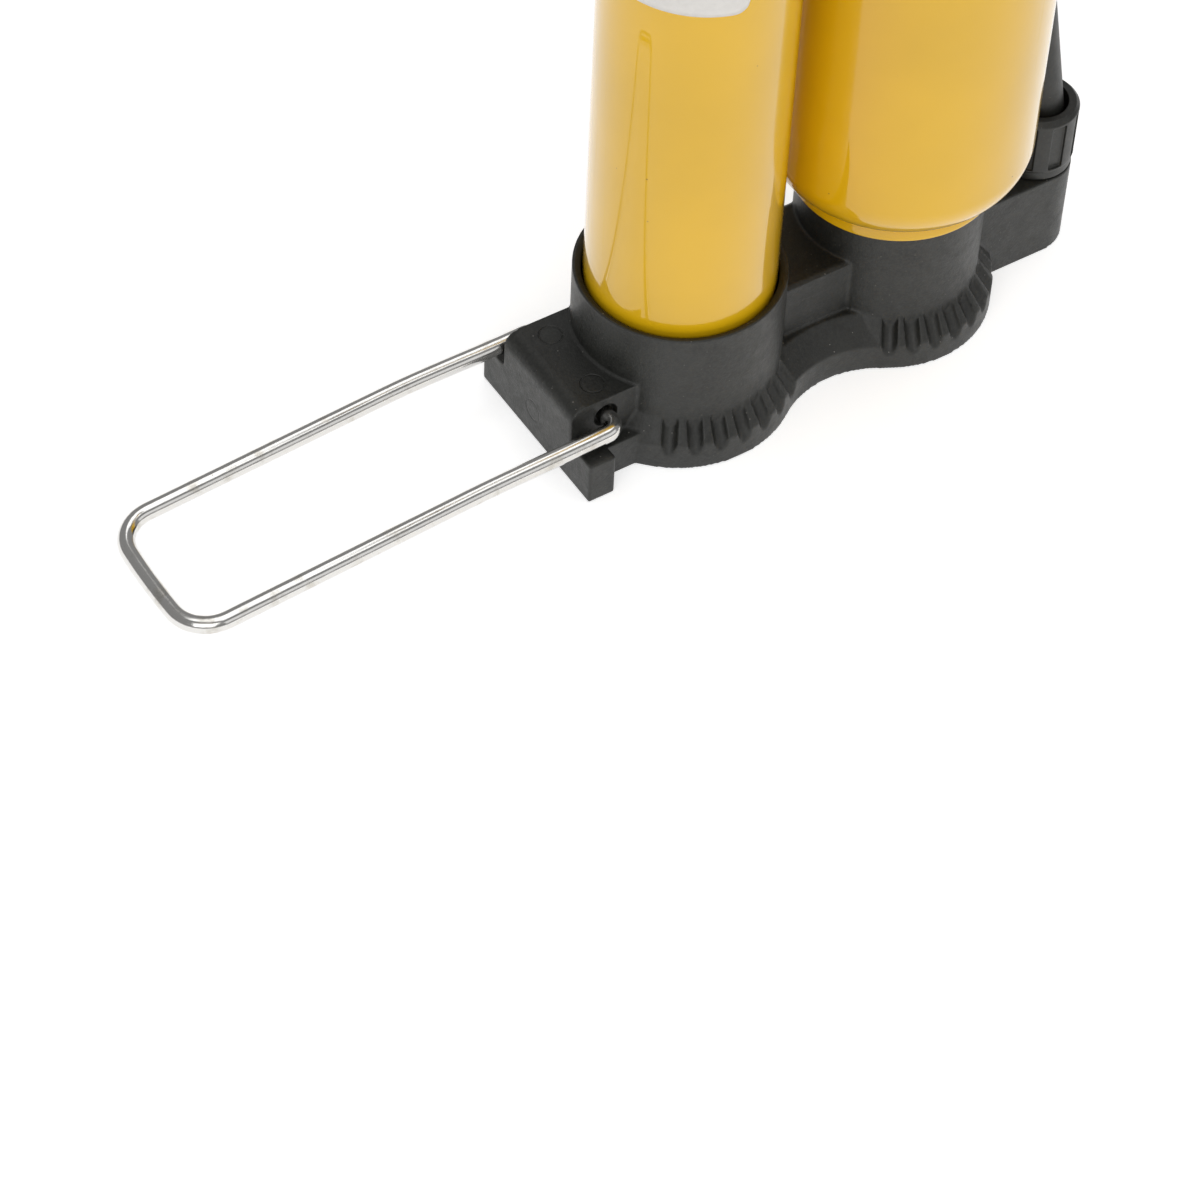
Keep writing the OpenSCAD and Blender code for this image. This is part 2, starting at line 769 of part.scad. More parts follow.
module chuck_body() {
    color(black) at_chuck() difference() {
        union() {
            bar_x(chuck_r, chuck_x0, chuck_x1);
            // Neck that takes the hose
            cylinder(r = chuck_neck_r, h = chuck_neck_h);
            // Ears for the lever
            for (y = [-ear_y - ear_t, ear_y]) translate([chuck_x1 - 1, y, -ear_h / 2])
                cube([ear_len, ear_t, ear_h]);
        }
        bar_x(chuck_bore_r, chuck_x0 - 1, chuck_x1 - chuck_back);
        bar_x(chuck_air_r, chuck_x0, chuck_x1 + 1);
        cylinder(r = hose_bore / 2, h = chuck_neck_h + 1);
        translate([hinge_x, 0, 0]) bar_y(pin_r + fit, -chuck_len, chuck_len);
    }
}

module chuck_cap() {
    color(black) at_chuck() difference() {
        union() {
            bar_x(chuck_r, chuck_x0 - cap_t, chuck_x0);
            bar_x(chuck_bore_r - fit, chuck_x0 - 1, chuck_x0 + cap_spigot);
        }
        bar_x(chuck_mouth_r, chuck_x0 - cap_t - 1, chuck_x0 + cap_spigot + 1);
    }
}

module chuck_seal() {
    x0 = chuck_x0 + cap_spigot;
    color(rubber) at_chuck() difference() {
        bar_x(chuck_bore_r - fit, x0, x0 + seal_len);
        bar_x(seal_bore_r, x0 - 1, x0 + seal_len + 1);
    }
}

// Slotted disc whose tip opens the tyre valve
module valve_pusher() {
    x0 = chuck_x0 + cap_spigot + seal_len;
    color(brass) at_chuck() {
        difference() {
            bar_x(chuck_bore_r - fit, x0, x0 + pusher_t);
            for (a = [0:60:300]) rotate([a, 0, 0]) translate([0, pusher_hole_at, 0])
                bar_x(pusher_hole_r, x0 - 1, x0 + pusher_t + 1);
        }
        bar_x(pusher_tip_r, x0 - pusher_tip_len, x0 + 1);
    }
}

// The lever lies back along the chuck's underside when it is shut
module chuck_lever() {
    side_y = lever_w / 2;
    tip_x = hinge_x - lever_len;
    color(black) at_chuck() difference() {
        union() {
            translate([hinge_x, 0, 0]) bar_y(lever_hub_r, -side_y, side_y);
            translate([hinge_x, -side_y, lever_z0]) cube([lever_hub_r, lever_w, -lever_z0]);
            translate([tip_x, -side_y, lever_z0]) cube([lever_len + 1, lever_w, lever_t]);
            for (i = [1:lever_ribs]) translate([tip_x + i * lever_rib_step, 0, lever_z0])
                bar_y(lever_rib_r, -side_y, side_y);
        }
        translate([hinge_x, 0, 0]) bar_y(pin_r + run, -lever_w, lever_w);
    }
}

module lever_pin() {
    half = ear_y + ear_t;
    color(steel) at_chuck() translate([hinge_x, 0, 0]) bar_y(pin_r, -half, half);
}

// ---------------------------------------------------------------- top

module bracket_outline(h) {
    cylinder(r = collar_r, h = h);
    translate([tank_x, 0, 0]) cylinder(r = foot_r, h = h);
    translate([0, -bridge_w / 2, 0]) cube([tank_x, bridge_w, h]);
}

// Clip round the hose on an arm that starts at root
module hose_clip(r_in, x, y, root) {
    translate([x, y, tank_z1]) cylinder(r = r_in + clip_wall, h = bracket_h);
    hull() {
        translate([x, y, tank_z1]) cylinder(r = clip_wall, h = bracket_h, $fn = 32);
        translate([root[0], root[1], tank_z1]) cylinder(r = 3, h = bracket_h, $fn = 32);
    }
}

module top_bracket() {
    z0 = tank_z1;
    ferrule_r = hose_r + ferrule_wall;
    color(black) difference() {
        union() {
            translate([0, 0, z0]) bracket_outline(bracket_h);
            translate([0, 0, z0 - collar_skirt])
                cylinder(r = collar_r, h = collar_top - collar_bevel - z0 + collar_skirt);
            translate([0, 0, collar_top - collar_bevel])
                cylinder(r1 = collar_r, r2 = collar_r - collar_bevel, h = collar_bevel);
            hose_clip(ferrule_r, chuck_x, chuck_y, [chuck_x, 6]);
            hose_clip(hose_r, clip_x, clip_y, [tank_x + 12, 3]);
        }
        translate([0, 0, z0 - collar_skirt - 1])
            cylinder(r = barrel_r + fit, h = barrel_z1 - z0 + collar_skirt + 1);
        translate([0, 0, z0]) cylinder(r = bush_r + fit, h = collar_top);
        translate([tank_x, 0, z0 - 1]) cylinder(r = stud_r + fit, h = bracket_h + 2);
        // The hose and its ferrule snap into these from outside
        translate([chuck_x, chuck_y, z0 - 1]) cylinder(r = ferrule_r + fit, h = bracket_h + 2);
        translate([chuck_x - snap_w / 2, chuck_y, z0 - 1]) cube([snap_w, 20, bracket_h + 2]);
        translate([clip_x, clip_y, z0 - 1]) cylinder(r = hose_r + 0.4, h = bracket_h + 2);
        translate([clip_x, clip_y - hose_snap_w / 2, z0 - 1]) cube([20, hose_snap_w, bracket_h + 2]);
    }
}

module tank_nut() {
    color(steel) translate([tank_x, 0, tank_z1 + bracket_h]) difference() {
        union() {
            cylinder(r = tank_nut_flange_r, h = 1);
            cylinder(r = tank_nut_r, h = tank_nut_h, $fn = 6);
            translate([0, 0, tank_nut_h - eps])
                cylinder(r1 = 0.8 * tank_nut_r, r2 = tank_nut_dome, h = tank_nut_dome);
        }
        translate([0, 0, -eps]) cylinder(r = stud_r + fit, h = tank_nut_h + 1 + 3 * eps);
    }
}

module rod_bush() {
    color(brass) {
        ring(bore_r - fit, rod_r + run, barrel_z1 - bush_len, barrel_z1);
        ring(bush_r, rod_r + run, barrel_z1 - 1, collar_top - wiper_h);
    }
}

module rod_wiper() {
    color(rubber) ring(bush_r, rod_r + run, collar_top - wiper_h, collar_top);
}

// ---------------------------------------------------------------- piston and handle

module piston_head() {
    color(black) difference() {
        union() {
            ring(piston_r, tail_r + run, head_z0, head_z1);
            ring(spigot_r, tail_r + run, head_z0 - cup_h + cup_floor, head_z0);
        }
        translate([0, 0, head_z0 + piston_h / 2])
            tube(piston_r + 1, piston_r - ring_groove_deep, ring_groove_h);
        translate([0, 0, head_z1 - rod_seat]) cylinder(r = rod_r + gap, h = 2 * rod_seat);
    }
}

// Cup seal: a disc with a lip that stands against the bore
module piston_cup() {
    z0 = piston_z0 + washer_t;
    color(rubber) {
        ring(cup_r, tail_r + run, z0, z0 + cup_floor);
        ring(cup_r, spigot_r + fit, z0 + cup_floor - 0.5, z0 + cup_h);
    }
}

module piston_washer() {
    color(steel) ring(piston_r - 1.5, tail_r + run, piston_z0, piston_z0 + washer_t);
}

module piston_rod() {
    tail_z0 = piston_z0 - gap;
    color(steel) {
        translate([0, 0, rod_z0]) cylinder(r = rod_r, h = rod_z1 - rod_z0);
        translate([0, 0, tail_z0]) cylinder(r = tail_r, h = rod_z0 - tail_z0 + 1);
    }
}

// Round nut under the piston, on the rod's end
module rod_nut() {
    z1 = piston_z0 - gap;
    color(steel) ring(rod_nut_r, tail_r + fit, z1 - rod_nut_h, z1);
}

module handle() {
    core_y = handle_len / 2 - 2 * grip_end;
    color(black) difference() {
        union() {
            translate([0, 0, hub_z0]) cylinder(r1 = hub_r + 2, r2 = hub_r - 1, h = grip_z - hub_z0);
            translate([0, 0, grip_z]) bar_y(grip_r - 1, -grip_y0, grip_y0);
            translate([0, 0, grip_z - 2]) cylinder(r = hub_r + 1, h = grip_r + 2.6);
            translate([0, 0, grip_z]) bar_y(core_r, -core_y, core_y);
        }
        translate([0, 0, hub_z0 - 1]) cylinder(r = rod_r + fit, h = rod_z1 - hub_z0 + 1);
        translate([0, 0, rod_z1 - 1]) cylinder(r = screw_r + 2 * run, h = 4 * grip_r);
        translate([0, 0, screw_head_z]) cylinder(r = screw_head_r + 0.6, h = grip_r);
    }
}

// Two ribbed rubber sleeves closed over the ends of the handle
module handle_grips() {
    len = handle_len / 2 - grip_y0;
    pitch = (len - grip_taper - 1) / grip_ribs;
    color(rubber) for (s = [0, 180]) rotate([0, 0, s]) translate([0, grip_y0, grip_z]) rotate([-90, 0, 0])
        difference() {
            union() {
                cylinder(r = grip_r - grip_rib_deep, h = len - grip_end);
                for (i = [0:grip_ribs]) translate([0, 0, i * pitch]) cylinder(r = grip_r, h = pitch * 0.55);
                translate([0, 0, len - grip_taper])
                    cylinder(r1 = grip_r, r2 = grip_r - grip_taper_in, h = grip_taper);
            }
            translate([0, 0, -1]) cylinder(r = core_r + fit, h = len - 2 * grip_end + 1 + fit);
        }
}

module handle_screw() {
    head_z1 = screw_head_z + screw_head_h;
    slot_z = head_z1 - screw_slot_deep;
    half = screw_slot_w / 2;
    color(steel) difference() {
        union() {
            translate([0, 0, rod_z1]) cylinder(r = screw_r, h = screw_head_z - rod_z1 + 1);
            translate([0, 0, screw_head_z]) cylinder(r = screw_head_r, h = screw_head_h);
        }
        translate([-4, -half, slot_z]) cube([8, screw_slot_w, 2]);
        translate([-half, -4, slot_z]) cube([screw_slot_w, 8, 2]);
    }
}

module blank_label() {
    color([0.85, 0.84, 0.82]) rotate([0, 0, label_from]) rotate_extrude(angle = label_turn)
        translate([barrel_r, label_z0]) square([label_t, label_h]);
}

base();
channel_plugs();
barrel_gasket();
barrel();
tank_gasket();
tank();
valve_seat();
valve_disc();
valve_spring();
valve_cage();
foot_pedal();
hose_barb();
hose_nut();
strain_relief();
hose();
hose_ferrule();
chuck_body();
chuck_seal();
chuck_cap();
valve_pusher();
chuck_lever();
lever_pin();
top_bracket();
tank_nut();
rod_bush();
rod_wiper();
piston_head();
piston_cup();
piston_washer();
piston_rod();
rod_nut();
handle();
handle_grips();
handle_screw();
blank_label();
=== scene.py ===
"""Looks of the hand and foot air pump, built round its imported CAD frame. Everything is in metres, +Z up."""

import json
import math

import bmesh
import bpy
from mathutils import Matrix, Vector


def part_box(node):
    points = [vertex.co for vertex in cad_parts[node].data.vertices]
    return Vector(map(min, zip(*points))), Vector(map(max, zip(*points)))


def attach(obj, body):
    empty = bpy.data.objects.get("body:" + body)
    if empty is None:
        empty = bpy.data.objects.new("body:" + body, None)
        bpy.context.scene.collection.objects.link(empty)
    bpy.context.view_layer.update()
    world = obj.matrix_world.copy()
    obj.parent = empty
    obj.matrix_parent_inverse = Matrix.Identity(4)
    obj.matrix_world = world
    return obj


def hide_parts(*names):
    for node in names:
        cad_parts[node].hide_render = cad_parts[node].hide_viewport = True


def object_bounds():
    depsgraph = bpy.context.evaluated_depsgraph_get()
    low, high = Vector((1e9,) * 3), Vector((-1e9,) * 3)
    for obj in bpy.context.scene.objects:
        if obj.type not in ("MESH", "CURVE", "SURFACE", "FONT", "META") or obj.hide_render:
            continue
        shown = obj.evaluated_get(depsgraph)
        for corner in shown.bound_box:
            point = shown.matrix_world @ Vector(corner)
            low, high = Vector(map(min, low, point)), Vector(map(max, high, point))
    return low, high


MM = 0.001
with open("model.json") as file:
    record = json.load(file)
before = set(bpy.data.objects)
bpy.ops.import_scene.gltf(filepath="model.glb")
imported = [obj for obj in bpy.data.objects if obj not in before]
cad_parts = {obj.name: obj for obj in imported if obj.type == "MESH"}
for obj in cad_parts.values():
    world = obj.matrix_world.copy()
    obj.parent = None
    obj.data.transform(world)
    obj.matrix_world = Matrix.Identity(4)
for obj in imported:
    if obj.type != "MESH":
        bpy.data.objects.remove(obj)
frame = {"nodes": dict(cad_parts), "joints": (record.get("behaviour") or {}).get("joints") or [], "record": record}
cad_low, cad_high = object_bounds()

BODY_OF = {node: body for body, nodes in frame["record"]["behaviour"]["bodies"].items() for node in nodes}
SLOT_OF = {row["node"]: row["material_slot"] for row in frame["record"]["subparts"]}


# ---------------------------------------------------------------- camera, floor and light

# The view turns from +Y towards +X, dips and rolls by these angles. The camera stands VIEW_DISTANCE back along
# it from the barrel's foot, moved to its own right and up.
VIEW_TURN = math.radians(34.72)
VIEW_DOWN = math.radians(49.22)
VIEW_ROLL = math.radians(3.06)
VIEW_DISTANCE = 739.0 * MM
VIEW_RIGHT = -12.2 * MM
VIEW_UP = -37.2 * MM
# In millimetres, as a camera's data has them
SENSOR_WIDTH = 36.0
FOCAL_LENGTH = 131.97

# The floor's half width in metres, and how far it lies under the pump
FLOOR_HALF = 6.0
FLOOR_GAP = 0.05 * MM


def make_camera():
    """The photograph's own view, which cuts off the pump's upper half."""
    forward = Vector((math.sin(VIEW_TURN) * math.cos(VIEW_DOWN),
                      math.cos(VIEW_TURN) * math.cos(VIEW_DOWN), -math.sin(VIEW_DOWN)))
    level = forward.cross(Vector((0, 0, 1))).normalized()
    upright = level.cross(forward)
    right = math.cos(VIEW_ROLL) * level + math.sin(VIEW_ROLL) * upright
    up = -math.sin(VIEW_ROLL) * level + math.cos(VIEW_ROLL) * upright
    place = -VIEW_DISTANCE * forward + VIEW_RIGHT * right + VIEW_UP * up
    data = bpy.data.cameras.new("camera")
    data.sensor_width = SENSOR_WIDTH
    data.lens = FOCAL_LENGTH
    data.clip_start, data.clip_end = 0.01, 20
    camera = bpy.data.objects.new("camera", data)
    camera.matrix_world = Matrix.Translation(place) @ Matrix((right, up, -forward)).transposed().to_4x4()
    bpy.context.scene.collection.objects.link(camera)
    bpy.context.scene.camera = camera


def area_light(name, place, target, size, watts):
    """A white rectangle of light at place, turned towards target."""
    data = bpy.data.lights.new(name, "AREA")
    data.shape, data.size, data.size_y = "RECTANGLE", size[0], size[1]
    data.energy = watts
    light = bpy.data.objects.new(name, data)
    light.location = place
    light.rotation_euler = (Vector(target) - Vector(place)).to_track_quat("-Z", "Y").to_euler()
    bpy.context.scene.collection.objects.link(light)


def make_studio():
    """A white floor in an even grey world, with two softboxes and a dim card that the wire mirrors."""
    world = bpy.data.worlds.new("studio")
    world.use_nodes = True
    background = world.node_tree.nodes["Background"]
    background.inputs["Color"].default_value = (1, 1, 1, 1)
    background.inputs["Strength"].default_value = 0.275
    bpy.context.scene.world = world
    bpy.context.scene.view_settings.view_transform = "Standard"
    area_light("softbox_left", (-0.75, -0.75, 0.75), (0, 0, 0.08), (0.9, 0.9), 5.1)
    area_light("softbox_top", (0.2, 0.1, 1.3), (0.02, 0, 0), (1.2, 1.2), 6.0)
    area_light("front_card", (0.6, -1.28, 0.75), (0, 0, 0.03), (1.5, 0.8), 2.4)
    mesh = bpy.data.meshes.new("floor")
    corners = [(x * FLOOR_HALF, y * FLOOR_HALF, 0) for x, y in ((-1, -1), (1, -1), (1, 1), (-1, 1))]
    mesh.from_pydata(corners, [], [(0, 1, 2, 3)])
    floor = bpy.data.objects.new("floor", mesh)
    floor.location.z = cad_low.z - FLOOR_GAP
    floor.data.materials.append(pale_floor())
    bpy.context.scene.collection.objects.link(floor)


# ---------------------------------------------------------------- materials

class Shader:
    """A material's node tree, with short calls for what the materials share. Lengths are in millimetres."""

    def __init__(self, name):
        self.material = bpy.data.materials.new(name)
        self.material.use_nodes = True
        self.tree = self.material.node_tree
        self.surface = self.tree.nodes["Principled BSDF"]
        place = self.tree.nodes.new("ShaderNodeTexCoord")
        scale = self.node("ShaderNodeVectorMath", operation="SCALE")
        self.link(place.outputs["Object"], scale.inputs[0])
        scale.inputs["Scale"].default_value = 1 / MM
        self.place = scale.outputs["Vector"]
        self.relief = None

    def node(self, kind, **settings):
        """A new node with those properties."""
        made = self.tree.nodes.new(kind)
        for key, value in settings.items():
            setattr(made, key, value)
        return made

    def link(self, source, socket):
        self.tree.links.new(source, socket)

    def set(self, **values):
        """Sets constants on the surface's own sockets: Coat_Weight=1.0 sets Coat Weight."""
        for key, value in values.items():
            socket = self.surface.inputs[key.replace("_", " ")]
            socket.default_value = (*value, 1) if isinstance(value, tuple) else value

    def noise(self, per_mm, detail, roughness=0.5, place=None):
        """Cloudy noise from 0 to 1 with that many waves to a millimetre."""
        made = self.node("ShaderNodeTexNoise")
        self.link(place or self.place, made.inputs["Vector"])
        made.inputs["Scale"].default_value = per_mm
        made.inputs["Detail"].default_value = detail
        made.inputs["Roughness"].default_value = roughness
        return made.outputs["Fac"]

    def cells(self, per_mm):
        """The distance to the nearest of scattered points, in shares of their spacing."""
        made = self.node("ShaderNodeTexVoronoi")
        self.link(self.place, made.inputs["Vector"])
        made.inputs["Scale"].default_value = per_mm
        return made.outputs["Distance"]

    def ramp(self, source, low, high, to_low=0.0, to_high=1.0):
        """The source with low to high spread over to_low to to_high, and held beyond them."""
        made = self.node("ShaderNodeMapRange")
        self.link(source, made.inputs["Value"])
        for key, value in zip(("From Min", "From Max", "To Min", "To Max"), (low, high, to_low, to_high)):
            made.inputs[key].default_value = value
        return made.outputs["Result"]

    def maths(self, operation, first, second=0.0):
        """One sum on a socket and on a second socket or number."""
        made = self.node("ShaderNodeMath", operation=operation)
        self.link(first, made.inputs[0])
        if isinstance(second, float):
            made.inputs[1].default_value = second
        else:
            self.link(second, made.inputs[1])
        return made.outputs["Value"]

    def vector_maths(self, operation, vector, value):
        """One sum on a vector socket and three numbers."""
        made = self.node("ShaderNodeVectorMath", operation=operation)
        self.link(vector, made.inputs[0])
        made.inputs[1].default_value = value
        return made.outputs["Vector"]

    def length(self, vector):
        made = self.node("ShaderNodeVectorMath", operation="LENGTH")
        self.link(vector, made.inputs[0])
        return made.outputs["Value"]

    def stretched(self, scale):
        """The place, stretched along each axis, for brushed or drawn marks."""
        return self.vector_maths("MULTIPLY", self.place, scale)

    def ring_mark(self, centre, radius, in_plane):
        """1 on a fine ring about centre, in the plane whose two axes are 1 in in_plane, and 0 elsewhere."""
        away = self.vector_maths("SUBTRACT", self.place, centre)
        across = self.length(self.vector_maths("MULTIPLY", away, in_plane))
        off_ring = self.maths("ABSOLUTE", self.maths("SUBTRACT", across, radius))
        # Only near its own surface, so that the ring doesn't show on the block's other sides
        near = self.ramp(self.length(away), radius + 0.6, radius + 0.8, 1.0, 0.0)
        return self.maths("MULTIPLY", self.ramp(off_ring, 0.05, 0.17, 1.0, 0.0), near)

    def facing_up(self):
        """1 where the surface faces up, 0 where it stands and -1 where it faces down."""
        geometry = self.node("ShaderNodeNewGeometry")
        split = self.node("ShaderNodeSeparateXYZ")
        self.link(geometry.outputs["Normal"], split.inputs[0])
        return split.outputs["Z"]

    def specks(self, per_mm, core, rim, patches_per_mm, patch_edge):
        """1 in the core of small round specks that come in patches, falling to 0 at their rim."""
        dots = self.ramp(self.cells(per_mm), core, rim, 1.0, 0.0)
        patches = self.ramp(self.noise(patches_per_mm, 2), *patch_edge)
        return self.maths("MULTIPLY", dots, patches)

    def mix(self, factor, first, second):
        """A colour between first and second, each a colour or a socket."""
        made = self.node("ShaderNodeMix", data_type="RGBA")
        self.link(factor, made.inputs["Factor"])
        for socket, value in ((made.inputs["A"], first), (made.inputs["B"], second)):
            if isinstance(value, tuple):
                socket.default_value = (*value, 1)
            else:
                self.link(value, socket)
        return made.outputs["Result"]

    def colour(self, source):
        self.link(source, self.surface.inputs["Base Color"])

    def rough(self, source):
        self.link(source, self.surface.inputs["Roughness"])

    def bump(self, source, depth_mm):
        """Adds a relief of that depth to the surface, on top of what it has."""
        made = self.node("ShaderNodeBump")
        made.inputs["Strength"].default_value = 1.0
        made.inputs["Distance"].default_value = depth_mm * MM
        self.link(source, made.inputs["Height"])
        if self.relief:
            self.link(self.relief, made.inputs["Normal"])
        self.relief = made.outputs["Normal"]
        self.link(self.relief, self.surface.inputs["Normal"])


def times(colour, factor):
    """A colour made darker, or lighter with a factor over 1."""
    return tuple(part * factor for part in colour)


def pale_floor():
    """White paper that glows a little, so that it stays white round the soft shadows."""
    s = Shader("pale_floor")
    s.set(Roughness=0.9, Specular_IOR_Level=0.1, Emission_Color=(1, 1, 1), Emission_Strength=0.52)
    grain = s.ramp(s.noise(0.02, 2), 0.3, 0.7)
    s.colour(s.mix(grain, (0.93, 0.93, 0.93), (0.95, 0.95, 0.95)))
    return s.material


def yellow_enamel(name, colour):
    """Thick glossy paint with a slight orange peel, faint clouds, dust caught in it and fine scratches."""
    s = Shader(name)
    s.set(Roughness=0.35, Specular_IOR_Level=0.1, Coat_Weight=1.0, Coat_Roughness=0.02, Coat_IOR=1.55)
    clouds = s.ramp(s.noise(0.03, 3), 0.35, 0.65)
    # Dark pips well under a millimetre across
    dust = s.specks(0.26, 0.03, 0.045, 0.11, (0.5, 0.54))
    paint = s.mix(clouds, colour, times(colour, 0.9))
    s.colour(s.mix(s.maths("MULTIPLY", dust, 0.75), paint, (0.16, 0.08, 0.01)))
    scratches = s.ramp(s.noise(1.0, 2, place=s.stretched((2.2, 2.2, 0.06))), 0.62, 0.7)
    s.rough(s.ramp(scratches, 0.0, 1.0, 0.3, 0.38))
    s.bump(s.noise(0.55, 2), 0.012)
    s.bump(dust, 0.02)
    return s.material


BLACK = (0.0098, 0.0101, 0.0088)
PIN_MARK_R = 2.0


def black_plastic(name, grain, depth, rough, pin_marks=()):
    """Moulded black plastic with mottling, wear and pale dust, and a grain of that many waves to a millimetre.

    pin_marks are the round marks that a mould's ejector pins leave, each with its centre and its plane."""
    s = Shader(name)
    s.set(IOR=1.5)
    mottle = s.ramp(s.noise(0.12, 5, 0.65), 0.35, 0.65)
    wear = s.ramp(s.noise(1.6, 3, 0.7), 0.4, 0.75)
    worn = s.mix(wear, s.mix(mottle, BLACK, times(BLACK, 1.9)), times(BLACK, 2.6))
    # The dust has settled mostly on what faces up
    flecks = s.specks(0.8, 0.07, 0.11, 0.5, (0.5, 0.54))
    dust = s.maths("MULTIPLY", flecks, s.ramp(s.facing_up(), 0.0, 0.8, 0.3, 1.0))
    s.colour(s.mix(s.maths("MULTIPLY", dust, 0.8), worn, (0.22, 0.21, 0.19)))
    s.rough(s.ramp(s.noise(0.5, 5, 0.7), 0.3, 0.7, *rough))
    s.bump(s.noise(grain, 4, 0.65), depth)
    s.bump(s.noise(0.15, 3), 0.06)
    for centre, in_plane in pin_marks:
        s.bump(s.ring_mark(centre, PIN_MARK_R, in_plane), -0.12)
    return s.material


def soft_rubber(name, colour, rough, grain):
    """Dull rubber with a pale bloom and a faint grain."""
    s = Shader(name)
    s.set(IOR=1.52)
    bloom = s.ramp(s.noise(0.08, 4), 0.35, 0.75)
    s.colour(s.mix(bloom, colour, times(colour, 1.8)))
    s.rough(s.ramp(s.noise(0.5, 4), 0.3, 0.7, *rough))
    s.bump(s.noise(grain, 2), 0.02)
    return s.material


def plated_wire(name):
    """Drawn wire with a bright plating: fine marks along its length and a few dull specks."""
    s = Shader(name)
    s.set(Metallic=1.0)
    drawn = s.noise(1.0, 3, place=s.stretched((0.05, 4.0, 4.0)))
    dull = s.ramp(s.noise(0.35, 4), 0.55, 0.7)
    spots = s.specks(0.8, 0.05, 0.09, 0.3, (0.6, 0.63))
    s.colour(s.mix(spots, s.mix(dull, (0.72, 0.71, 0.69), (0.6, 0.58, 0.54)), (0.2, 0.15, 0.1)))
    s.rough(s.maths("ADD", s.ramp(drawn, 0.3, 0.7, 0.1, 0.2), s.maths("MULTIPLY", dull, 0.08)))
    s.bump(drawn, 0.004)
    return s.material


def metal(name, colour, rough, marks):
    """Bare metal with light stains and fine marks, whose waves to a millimetre along each axis are given."""
    s = Shader(name)
    s.set(Metallic=1.0)
    lines = s.noise(1.0, 3, place=s.stretched(marks))
    stain = s.ramp(s.noise(0.2, 4), 0.4, 0.75)
    s.colour(s.mix(stain, colour, times(colour, 0.75)))
    s.rough(s.ramp(lines, 0.3, 0.7, rough, rough + 0.15))
    s.bump(lines, 0.006)
    return s.material


def label_film(name):
    """Blank off-white paper under a thin film."""
    s = Shader(name)
    s.set(Roughness=0.38)
    fibres = s.ramp(s.noise(0.9, 5), 0.35, 0.65)
    s.colour(s.mix(fibres, (0.66, 0.64, 0.61), (0.7, 0.68, 0.65)))
    s.bump(s.noise(2.0, 3), 0.01)
    return s.material


# The ejector pins' marks on the hinge block, each with its centre and the plane it lies in: two on its top and
# one on its end
LEVEL, UPRIGHT = (1.0, 1.0, 0.0), (0.0, 1.0, 1.0)
PIN_MARKS = (((-20.6, -6.4, 15.6), LEVEL), ((-20.6, 6.4, 15.6), LEVEL), ((-27.2, 1.0, 6.0), UPRIGHT))

# The marks of a lathe run round a piece, and those of drawing or grinding run along it
TURNED, DRAWN = (0.3, 0.3, 6.0), (3.0, 3.0, 0.05)

MATERIALS = {
    "base_black": black_plastic("base_black", 2.2, 0.06, (0.38, 0.56), PIN_MARKS),
    "nut_black": black_plastic("nut_black", 3.2, 0.02, (0.36, 0.5)),
    "chuck_plastic": black_plastic("chuck_plastic", 3.2, 0.02, (0.34, 0.48)),
    "yellow_paint": yellow_enamel("yellow_paint", (0.75, 0.44, 0.004)),
    "wire_chrome": plated_wire("wire_chrome"),
    "rod_chrome": metal("rod_chrome", (0.74, 0.74, 0.75), 0.12, DRAWN),
    "steel": metal("steel", (0.62, 0.62, 0.63), 0.3, TURNED),
    "brass": metal("brass", (0.75, 0.55, 0.25), 0.25, TURNED),
    "rubber": soft_rubber("rubber", (0.012, 0.012, 0.012), (0.5, 0.7), 3.0),
    "hose_rubber": soft_rubber("hose_rubber", (0.016, 0.016, 0.016), (0.45, 0.6), 2.0),
    "grip_rubber": soft_rubber("grip_rubber", (0.02, 0.02, 0.021), (0.6, 0.8), 4.0),
    "label_paper": label_film("label_paper"),
}


# ---------------------------------------------------------------- mesh helpers

# Points of the CAD's mesh that are nearer than this are one point
WELD_GAP = 0.002 * MM
# Straight steps on each rounded corner of an outline
CORNER_STEPS = 4


def middle(node):
    low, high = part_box(node)
    return (low + high) / 2


def sizes(node):
    """A CAD node's size along each axis, in millimetres."""
    low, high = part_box(node)
    return (high - low) / MM


def foot_z(node):
    """The height of a CAD node's lowest point."""
    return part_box(node)[0].z


def top_z(node):
    """The height of a CAD node's highest point."""
    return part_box(node)[1].z


def finished_mesh(shape, name):
    """The mesh of a bmesh, with its faces turned outwards."""
    bmesh.ops.recalc_face_normals(shape, faces=shape.faces)
    mesh = bpy.data.meshes.new(name)
    shape.to_mesh(mesh)
    shape.free()
    return mesh


def add_piece(name, mesh, node):
    """Shows the mesh in place of a CAD node, on that node's body and with its finish."""
    piece = bpy.data.objects.new(name, mesh)
    bpy.context.scene.collection.objects.link(piece)
    piece.data.materials.clear()
    piece.data.materials.append(MATERIALS[SLOT_OF[node]])
    for polygon in piece.data.polygons:
        polygon.use_smooth = True
    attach(piece, BODY_OF[node])
    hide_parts(node)


def apply_modifiers(piece):
    """Turns the piece's modifiers into its mesh."""
    graph = bpy.context.evaluated_depsgraph_get()
    mesh = bpy.data.meshes.new_from_object(piece.evaluated_get(graph))
    piece.modifiers.clear()
    old = piece.data
    piece.data = mesh
    mesh.name = piece.name
    bpy.data.meshes.remove(old)


